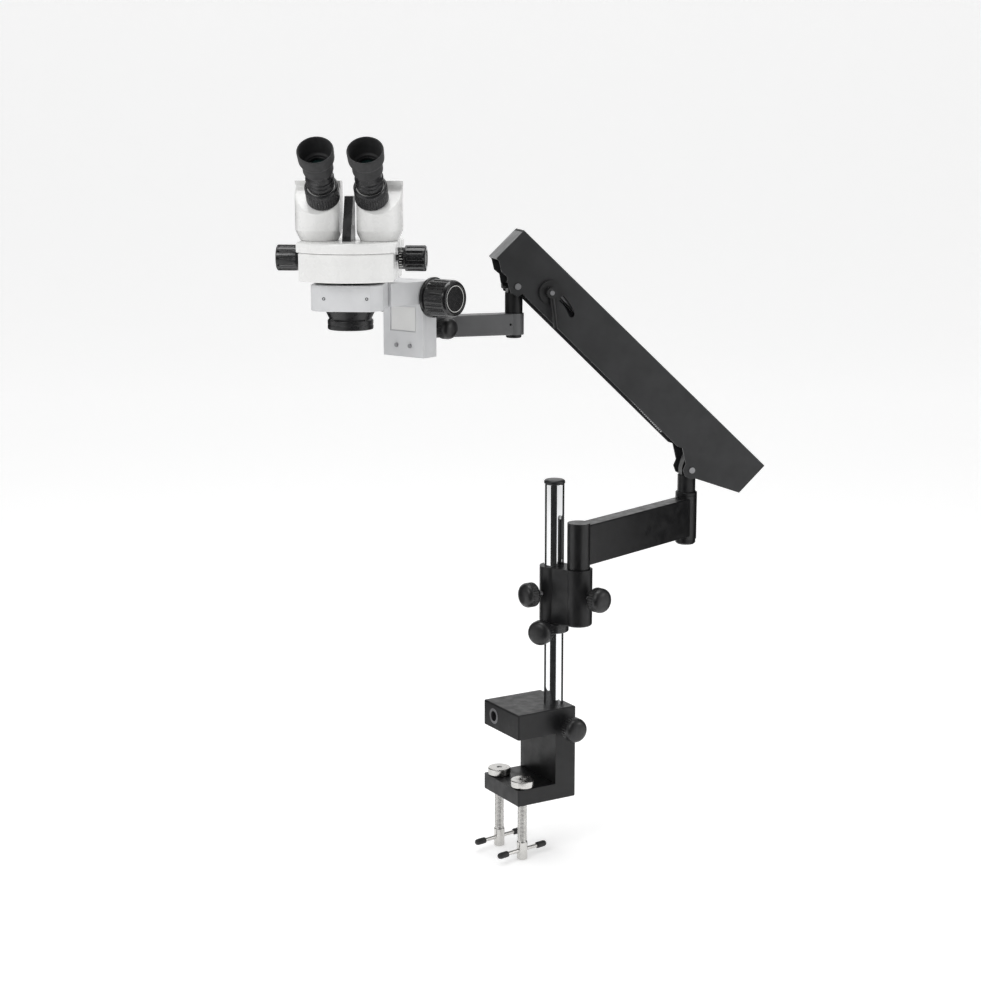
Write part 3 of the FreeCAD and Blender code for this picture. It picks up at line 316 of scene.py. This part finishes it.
def divided(line, step, closed=False):
    """The line with its long runs cut into equal lengths no longer than step."""
    ends = np.roll(line, -1, 0) if closed else line[1:]
    starts = line if closed else line[:-1]
    runs = [np.linspace(start, end, max(1, math.ceil(np.linalg.norm(end - start) / step)), endpoint=False)
            for start, end in zip(starts, ends)]
    return np.concatenate(runs if closed else runs + [line[-1:]])


def turned_skin(name, lathe, profile, body, material, ease=0.5, around=72, step=50.0, relief=None,
                closed=False, smooth_angle=40, stands_for=()):
    """A profile in millimetres carried round the lathe's axis: the point at profile step i and angle a is
    at radius r_i plus the relief there, and at height z_i. A closed profile is a ring with a bore."""
    line = divided(eased(profile, ease, closed), step, closed)
    angle = np.linspace(0, 2 * math.pi, around, endpoint=False)
    radius = np.repeat(line[:, :1], around, 1)
    height = np.repeat(line[:, 1:], around, 1)
    if relief:
        cut = relief(np.repeat(angle[None], len(line), 0), height, radius)
        radius = radius + np.where(radius > 0.6 * radius.max(), cut, 0)
    grid = np.stack([radius * np.cos(angle), radius * np.sin(angle), height], 2) * MM
    points = lathe.out(grid.reshape(-1, 3))
    count = len(line)
    rows = np.arange(count if closed else count - 1)[:, None]
    here = np.arange(around)[None]
    nxt = (here + 1) % around
    up = (rows + 1) % count
    quads = np.stack([rows * around + here, rows * around + nxt, up * around + nxt, up * around + here], 2)
    faces = quads.reshape(-1, 4).tolist()
    piece = add_mesh(name, points, faces)
    work = bmesh.new()
    work.from_mesh(piece.data)
    bmesh.ops.remove_doubles(work, verts=work.verts, dist=2e-7)
    bmesh.ops.dissolve_degenerate(work, edges=work.edges, dist=1e-8)
    work.to_mesh(piece.data)
    work.free()
    piece.data.polygons.foreach_set("use_smooth", [True] * len(piece.data.polygons))
    piece.data.set_sharp_from_angle(angle=math.radians(smooth_angle))
    piece.data.materials.append(material)
    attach(piece, body)
    if stands_for:
        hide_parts(*stands_for)
    return piece


def thread(pitch, depth, low, high):
    """A helical groove: depth follows how far the height is from the nearest turn."""
    def cut(angle, height, radius):
        turns = (height / pitch - angle / (2 * math.pi)) % 1.0
        return np.where((height > low) & (height < high), -depth * np.abs(2 * turns - 1), 0)
    return cut


def moulded(name, colour, rough, grain=700.0, depth=0.0001, **sockets):
    """Moulded plastic or rubber: a little cloudiness, uneven gloss and a fine grain."""
    material, tree, shader = new_material(name, colour, rough, **sockets)
    cloud = object_noise(tree, 120)
    tint(tree, cloud, colour, tuple(1.5 * part for part in colour), shader.inputs["Base Color"])
    spread(tree, object_noise(tree, 300, 5), rough - 0.05, rough + 0.07, shader.inputs["Roughness"])
    bump(tree, shader, object_noise(tree, grain, 3), 0.25, depth)
    return material


grip_rubber = moulded("grip_rubber", (0.012, 0.012, 0.012), 0.55)

for side in ("front", "rear"):
    axis = joint_axis(f"screw_{side}_turn")
    low, high, _ = (value / MM for value in axis.reach(f"clamp_pad_{side}"))
    turned_skin(f"screw_pad_{side}", axis,
                [(0, low + 2), (4, low + 2), (4, low), (13.7, low), (14.5, low + 0.8), (14.5, high - 0.8),
                 (13.7, high), (3.4, high), (2.6, high - 1), (0, high - 2.4)],
                f"pad_{side}", stainless, ease=0.4, around=96, stands_for=[f"clamp_pad_{side}"])
    bar_low, bar_high, _ = (value / MM for value in axis.reach(f"bar_grips_{side}"))
    bar_level = (bar_low + bar_high) / 2
    rod_low = bar_level - 12
    rod_top = low + 4.6
    turned_skin(f"screw_rod_{side}", axis,
                [(0, rod_low), (5.6, rod_low), (6.8, rod_low + 1), (6.8, rod_low + 23),
                 (6.0, rod_low + 24), (6.0, low - 1), (4, low - 0.6), (4, rod_top), (0, rod_top)],
                f"screw_{side}", stainless, ease=0.3, around=40, step=0.42,
                relief=thread(1.75, 0.5, rod_low + 25, low - 1), smooth_angle=60,
                stands_for=[f"clamp_screw_{side}"])
    turn = math.radians(8)
    across = np.array([math.cos(turn), math.sin(turn), 0])
    centre = axis.spot + axis.z * bar_level * MM
    bar = Lathe(centre, across)
    turned_skin(f"screw_bar_{side}", bar, [(0, -31), (2.5, -31), (2.5, 31), (0, 31)],
                f"screw_{side}", stainless, around=32)
    for end, way in (("a", 1), ("b", -1)):
        cap = Lathe(centre, way * across)
        turned_skin(f"bar_cap_{side}_{end}", cap,
                    [(2.5, 23.5), (3.5, 23.5), (4.0, 24.6), (4.0, 35), (3.3, 37.6), (1.8, 38.5), (0, 38.5)],
                    f"screw_{side}", grip_rubber, ease=0.8, around=32,
                    stands_for=[f"bar_grips_{side}"])


# ------------------------------------------------------------------ pillar
# A solid steel post, ground and chrome plated, pressed into the clamp and closed with a
# thin black plastic cap.
chrome, tree, shader = new_material("chrome", (0.86, 0.87, 0.88), 0.035, metal=1.0)
spread(tree, object_noise(tree, 240, 4, (1, 1, 0.04)), 0.02, 0.07, shader.inputs["Roughness"])
knob_plastic = moulded("knob_plastic", (0.008, 0.008, 0.0085), 0.36, grain=500, depth=0.00005)

axis = joint_axis("carrier_swing")
low, high, radius = (value / MM for value in axis.reach("pillar"))
turned_skin("chrome_pillar", axis,
            [(0, low), (radius, low), (radius, high - 0.7), (radius - 0.7, high), (0, high)],
            "clamp", chrome, ease=0.3, around=160, stands_for=["pillar"])
low, high, radius = (value / MM for value in axis.reach("pillar_cap"))
turned_skin("post_cap", axis,
            [(0, low), (radius, low), (radius, high - 1.6), (radius - 2, high), (0, high)],
            "clamp", knob_plastic, ease=1.0, around=96, stands_for=["pillar_cap"])


# ------------------------------------------------------------------ clamping knobs
# Black phenolic knobs moulded round a steel stud: a knurled skirt behind a smooth domed face.
def scallops(count, depth, low, high, sharp=2.0):
    """Round grooves along the height between two levels, fading in and out over a millimetre."""
    def cut(angle, height, radius):
        window = np.clip((height - low) / 1.0, 0, 1) * np.clip((high - height) / 1.0, 0, 1)
        return -depth * window * (0.5 - 0.5 * np.cos(count * angle)) ** sharp
    return cut


KNOB_RISE = 24
for knob, joint in (("pillar_lock_knob", "pillar_lock_turn"), ("collar_knob", "collar_knob_turn"),
                    ("post_knob", "post_knob_turn"), ("arm_knob", "arm_knob_turn"),
                    ("mount_knob", "mount_knob_turn")):
    axis = joint_axis(joint)
    low, high, radius = (value / MM for value in axis.reach(knob))
    foot = high - KNOB_RISE
    body = JOINTS[joint]["child"]
    turned_skin(f"{knob}_head", axis,
                [(0, foot + 0.2), (radius * 0.5, foot + 0.2), (radius * 0.56, foot + 3),
                 (radius * 0.84, foot + 4.4), (radius * 0.98, foot + 6.4), (radius, foot + 8),
                 (radius, foot + 15.4), (radius * 0.99, foot + 16.6), (radius * 0.93, foot + 19.4),
                 (radius * 0.78, foot + 21.8), (radius * 0.55, foot + 23.2),
                 (radius * 0.3, foot + 23.8), (0, high)],
                body, knob_plastic, ease=2.0, around=192, step=0.8,
                relief=scallops(28, 0.75, foot + 5.2, foot + 15.0), smooth_angle=50, stands_for=[knob])
    turned_skin(f"{knob}_stud", axis, [(0, low), (2.9, low), (2.9, foot + 0.4), (0, foot + 0.4)],
                body, machined_steel, ease=0.2, around=36, step=0.35,
                relief=thread(1.0, 0.3, low + 0.5, foot), smooth_angle=60)


# ------------------------------------------------------------------ height collar
# A turned steel ring, blackened, that carries the arm's weight on the pillar.
axis = joint_axis("carrier_swing")
low, high, radius = (value / MM for value in axis.reach("height_collar"))
blackened = sprayed("blackened_steel", (0.014, 0.014, 0.015), (0.024, 0.024, 0.025), 0.28,
                    grain=1600, depth=0.00005)
COLLAR_BORE = 12.55
turned_skin("collar_ring", axis,
            [(COLLAR_BORE, low), (radius - 1, low), (radius, low + 1), (radius, high - 1), (radius - 1, high),
             (COLLAR_BORE, high)],
            "collar", blackened, ease=0.5, around=120, closed=True, stands_for=["height_collar"])


# ------------------------------------------------------------------ carrier
# A casting with two bores side by side: one slides on the pillar, the other holds the arm.
coated("carrier_block", black_casting)


# ------------------------------------------------------------------ lower arm and its knuckle
# A box-section aluminium casting with a boss at each end, and a steel spindle in the near
# boss. The knuckle that holds the beam turns in the far one.
arm_paint = sprayed("arm_paint", (0.004, 0.004, 0.0045), (0.007, 0.007, 0.0077), 0.36,
                    grain=1500, depth=0.00001)
coated("lower_arm", arm_paint)
coated("arm_spindle", machined_steel)
coated("lower_knuckle", black_casting)


# ------------------------------------------------------------------ balanced beam
# A folded sheet-steel cover, powder coated, over two end plates. It hides the tension spring
# and turns on a pin at each end; the pin heads show through its sides.
beam_paint = sprayed("beam_paint", (0.014, 0.0145, 0.0155), (0.021, 0.0215, 0.023), 0.44,
                     grain=1800, depth=0.0001)
end_paint = sprayed("end_paint", (0.10, 0.102, 0.105), (0.13, 0.132, 0.135), 0.42,
                    grain=1800, depth=0.0001)
coated("beam_cover", beam_paint)
coated("beam_end_plates", end_paint)
spring_steel = turned_metal("spring_steel", (0.42, 0.42, 0.43), 0.3)
coated("beam_pins", machined_steel)
coated("tension_spring", spring_steel)


# ------------------------------------------------------------------ balance link and its lock
# Two flat bars keep the far knuckle level. A bolt through the curved slot clamps them when
# the ring-headed lever is pulled down.
coated("balance_link", machined_steel)
coated("lock_bolt", machined_steel)
coated("lock_disc", knob_plastic)
coated("lock_lever", knob_plastic)


# ------------------------------------------------------------------ upper knuckle and front arm
# The level knuckle carries a short cast arm, painted satin grey, on its shaft.
grey_paint = sprayed("grey_arm_paint", (0.085, 0.086, 0.088), (0.105, 0.106, 0.109), 0.4,
                     grain=1200, depth=0.0001)
coated("upper_knuckle", black_casting)
coated("front_arm", grey_paint)


# ------------------------------------------------------------------ microscope mount and focus
# A bracket sprayed satin grey and a milled rail sprayed light grey, with a steel rack and pinion
# turned by two ribbed drums.
light_grey = sprayed("light_grey_paint", (0.60, 0.605, 0.615), (0.66, 0.665, 0.675), 0.36,
                     grain=1500, depth=0.00008)
coated("mount_bracket", grey_paint)
coated("focus_rail", light_grey)
coated("focus_pinion", machined_steel)
coated("focus_rack", machined_steel)
mark_paint = sprayed("mark_paint", (0.66, 0.66, 0.64), (0.70, 0.70, 0.68), 0.5,
                     grain=2600, depth=0.00002)
drive_plastic = moulded("drive_plastic", (0.006, 0.006, 0.0065), 0.22,
                        grain=600, depth=0.00004, Coat_Weight=0.3)


def ribs(count, depth, low, high, sharp=4.0):
    """Broad flat-topped ribs with narrow grooves between them, ending softly at both levels."""
    def cut(angle, height, radius):
        window = np.clip((height - low) / 1.2, 0, 1) * np.clip((high - height) / 1.2, 0, 1)
        wave = 0.5 + 0.5 * np.tanh(sharp * (np.cos(count * angle) - 0.55))
        return -depth * window * wave
    return cut


DRUM_BORE = 3.52
for side, flip in (("right", True), ("left", False)):
    axis = joint_axis("focus_knob_turn", flip)
    low, high, radius = (value / MM for value in axis.reach(f"focus_knob_{side}"))
    grip = radius - 2
    face = high - 1.0
    turned_skin(f"focus_drum_{side}", axis,
                [(0, high - 5.5), (DRUM_BORE, high - 5.5), (DRUM_BORE, low), (radius, low), (radius, low + 4),
                 (grip, low + 5.5), (grip, high - 4.4), (grip - 0.8, high - 2.4), (grip - 2.2, high - 0.6),
                 (grip - 3.4, high), (grip - 5.6, high), (grip - 6.2, face), (0, face)],
                "focus_drive", drive_plastic, ease=0.5, around=320, step=1.2,
                relief=ribs(20, 1.2, low + 6.5, high - 5), smooth_angle=50, stands_for=[f"focus_knob_{side}"])
    turned_skin(f"focus_drum_ring_{side}", axis,
                [(grip - 7.4, face - 0.1), (grip - 6.6, face - 0.1), (grip - 6.6, face + 0.12),
                 (grip - 7.4, face + 0.12)],
                "focus_drive", mark_paint, ease=0.1, around=120, closed=True)


# ------------------------------------------------------------------ holder and ring
# The slab slides on the rail's dovetail and carries the ring that the microscope sits in.
coated("focus_holder", light_grey)
label_stock = sprayed("label_stock", (0.70, 0.70, 0.69), (0.74, 0.74, 0.73), 0.5,
                      grain=2600, depth=0.00003)
coated("label_plate", label_stock)
coated("holder_screws", machined_steel)
ring_centre = np.array(JOINTS["head_turn"]["pos_m"])
RING_HALF_HEIGHT = 15.5
ring_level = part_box("focus_holder")[1].z - RING_HALF_HEIGHT * MM
ring_turn, flat_reach, from_middle = math.radians(-124.8), 42.9 * MM, 25.5 * MM
out = np.array([math.cos(ring_turn), math.sin(ring_turn), 0])
side = np.array([-math.sin(ring_turn), math.cos(ring_turn), 0])
for name, way in (("left", -1), ("right", 1)):
    spot = ring_centre * (1, 1, 0) + (0, 0, ring_level) + out * flat_reach + side * way * from_middle
    turned_skin(f"ring_screw_{name}", Lathe(spot, out),
                [(0, -2.4), (1.9, -2.4), (1.9, 0.2), (1.0, 0.2), (1.0, -0.8), (0, -0.8)],
                "holder", blackened, ease=0.12, around=36)


# ------------------------------------------------------------------ microscope body
# Two die-cast shells sprayed glossy white, with a black ring in the groove under them.
white_paint = sprayed("white_paint", (0.78, 0.78, 0.77), (0.82, 0.82, 0.81), 0.26, grain=1500, depth=0.00005,
                      Coat_Weight=0.25)
coated("zoom_body_lower", white_paint)
coated("zoom_body_upper", white_paint)
coated("body_groove_ring", drive_plastic)


# ------------------------------------------------------------------ objective
# A black anodised cell screwed into the body, with a coated glass at its foot.
anodised = sprayed("black_anodised", (0.010, 0.010, 0.011), (0.016, 0.016, 0.017), 0.3,
                   grain=2200, depth=0.00003)
axis = joint_axis("head_turn")
low, high, radius = (value / MM for value in axis.reach("objective_cell"))
turned_skin("objective_barrel", axis,
            [(21.1, low + 8), (24, low + 8), (24, low), (26.5, low), (27.5, low + 1),
             (27.5, low + 5), (27.0, low + 5.4), (27.0, low + 6.2), (27.5, low + 6.6),
             (27.5, high - 13.5), (25.5, high - 11.5), (31, high), (21.1, high)],
            "head", anodised, ease=0.4, around=144, closed=True, stands_for=["objective_cell"])
lens_glass, tree, shader = new_material("lens_glass", (0.02, 0.03, 0.035), 0.03, Coat_Weight=1.0,
                                        Coat_Roughness=0.02, Coat_Tint=(0.45, 0.75, 0.65, 1),
                                        Specular_Tint=(0.35, 0.75, 0.6, 1))
spread(tree, object_noise(tree, 500, 2), 0.02, 0.05, shader.inputs["Roughness"])
low, high, radius = (value / MM for value in axis.reach("objective_lens"))
turned_skin("objective_glass", axis,
            [(0, low), (7, low + 0.15), (14, low + 0.6), (20, low + 1.4), (21, low + 2), (21, high), (0, high)],
            "head", lens_glass, ease=1.5, around=96, stands_for=["objective_lens"])


# ------------------------------------------------------------------ zoom knobs
# Ribbed black drums on the two ends of the zoom shaft; the right one has a graduated ring.
coated("zoom_shaft", machined_steel)


def graduations(name, lathe, radius, low, high, count, body):
    """Ticks round a collar: tick k is a thin block between two angles about 2 pi k / count, two heights
    and two radii, and every third tick is longer."""
    middle = 2 * math.pi * np.arange(count)[:, None] / count
    swing = np.array([-1, 1, 1, -1, -1, 1, 1, -1]) * 0.35 / radius
    tops = np.where(np.arange(count)[:, None] % 3 == 0, high, (low + high) / 2 + 0.6)
    heights = np.where(np.array([0, 0, 1, 1, 0, 0, 1, 1])[None] == 1, tops, low)
    reach = np.array([-0.3, -0.3, -0.3, -0.3, 0.06, 0.06, 0.06, 0.06]) + radius
    angle = middle + swing
    grid = np.stack([reach * np.cos(angle), reach * np.sin(angle), heights], 2) * MM
    sides = np.array([(0, 3, 2, 1), (4, 5, 6, 7), (0, 1, 5, 4), (1, 2, 6, 5), (2, 3, 7, 6), (3, 0, 4, 7)])
    faces = (8 * np.arange(count)[:, None, None] + sides[None]).reshape(-1, 4)
    piece = add_mesh(name, lathe.out(grid.reshape(-1, 3)), faces, 30)
    piece.data.materials.append(mark_paint)
    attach(piece, body)


for side, flip in (("right", False), ("left", True)):
    axis = joint_axis("zoom_turn", flip)
    low, high, radius = (value / MM for value in axis.reach(f"zoom_knob_{side}"))
    collar = 7 if side == "right" else 2
    turned_skin(f"zoom_drum_{side}", axis,
                [(0, low + 8), (4.02, low + 8), (4.02, low), (radius - 2.5, low), (radius - 2.5, low + collar),
                 (radius, low + collar + 1), (radius, high - 1.2), (radius - 1.6, high), (radius - 5, high),
                 (radius - 5.8, high - 0.8), (0, high - 0.8)],
                "zoom_drive", drive_plastic, ease=0.5, around=288, step=1.0,
                relief=ribs(12, 1.4, low + collar + 3, high - 2.2), smooth_angle=50,
                stands_for=[f"zoom_knob_{side}"])
    if side == "right":
        graduations("zoom_marks", axis, radius - 2.5, low + 1.4, low + 5.4, 24, "zoom_drive")


# ------------------------------------------------------------------ centre plate
# The black blanking piece between the two prism housings.
coated("centre_plate", anodised)


# ------------------------------------------------------------------ prism housings
# Two die-cast housings that swing to set the eye distance, sprayed like the body.
for side in ("left", "right"):
    coated(f"prism_housing_{side}", white_paint)
    coated(f"prism_{side}", lens_glass)


# ------------------------------------------------------------------ eyepieces
# A ribbed diopter ring, a black anodised barrel, a coated eye lens and a soft rubber cup that
# flares to its rim.
eyepiece_black = moulded("eyepiece_black", (0.012, 0.012, 0.013), 0.3, grain=900, depth=0.00004)
eyecup_rubber = moulded("eyecup_rubber", (0.016, 0.016, 0.017), 0.62,
                        grain=900, depth=0.00012, Sheen_Weight=0.1)

BARREL_HEAD = 30
for side in ("left", "right"):
    axis = joint_axis(f"diopter_{side}_turn")
    low, high, radius = (value / MM for value in axis.reach(f"diopter_ring_{side}"))
    turned_skin(f"diopter_grip_{side}", axis,
                [(17.4, low), (radius - 1, low), (radius, low + 1.6), (radius, high - 2), (radius - 1.5, high),
                 (17.4, high)],
                f"diopter_{side}", eyepiece_black, ease=0.6, around=288, step=1.2, closed=True,
                relief=ribs(36, 0.8, low + 2.5, high - 4.5, 3.0), smooth_angle=50,
                stands_for=[f"diopter_ring_{side}"])
    low, high, radius = (value / MM for value in axis.reach(f"eyepiece_{side}"))
    top = high
    start = top - BARREL_HEAD
    turned_skin(f"eyepiece_barrel_{side}", axis,
                [(13.2, low), (15.2, low), (15.2, start), (radius, start), (radius, start + 4.6),
                 (radius - 0.8, start + 5.4), (radius - 0.8, start + 7.2), (radius, start + 8),
                 (radius, start + 10.4), (radius - 1.2, start + 11.2), (radius - 1.2, start + 19),
                 (radius, start + 20), (radius, top), (12.52, top), (12.52, top - 8), (13.2, top - 14)],
                f"eyepiece_{side}", eyepiece_black, ease=0.4, around=120, closed=True,
                stands_for=[f"eyepiece_{side}"])
    low, high, lens = (value / MM for value in axis.reach(f"eye_lens_{side}"))
    turned_skin(f"eye_glass_{side}", axis,
                [(0, low), (lens, low), (lens, high - 2.4), (lens * 0.8, high - 1.2),
                 (lens * 0.45, high - 0.3), (0, high)],
                f"eyepiece_{side}", lens_glass, ease=2.0, around=72,
                stands_for=[f"eye_lens_{side}"])
    low, high, rim = (value / MM for value in axis.reach(f"eyecup_{side}"))
    turned_skin(f"rubber_cup_{side}", axis,
                [(17.03, low + 8), (17.8, low + 8), (18.1, low + 9.4), (17.8, high - 19.5),
                 (18.6, high - 18.2), (rim - 1.0, high - 16.6), (rim - 0.5, high - 14.6), (rim, high - 1),
                 (rim - 0.7, high), (rim - 1.8, high - 0.8), (rim - 2.4, high - 12), (17.4, top + 3),
                 (14.6, top + 1.4), (14.5, top + 0.05), (17.03, top + 0.05)],
                f"eyepiece_{side}", eyecup_rubber, ease=1.4, around=144, closed=True,
                smooth_angle=60, stands_for=[f"eyecup_{side}"])


# ------------------------------------------------------------------ sizes
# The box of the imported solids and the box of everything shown, in metres.
low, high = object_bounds()
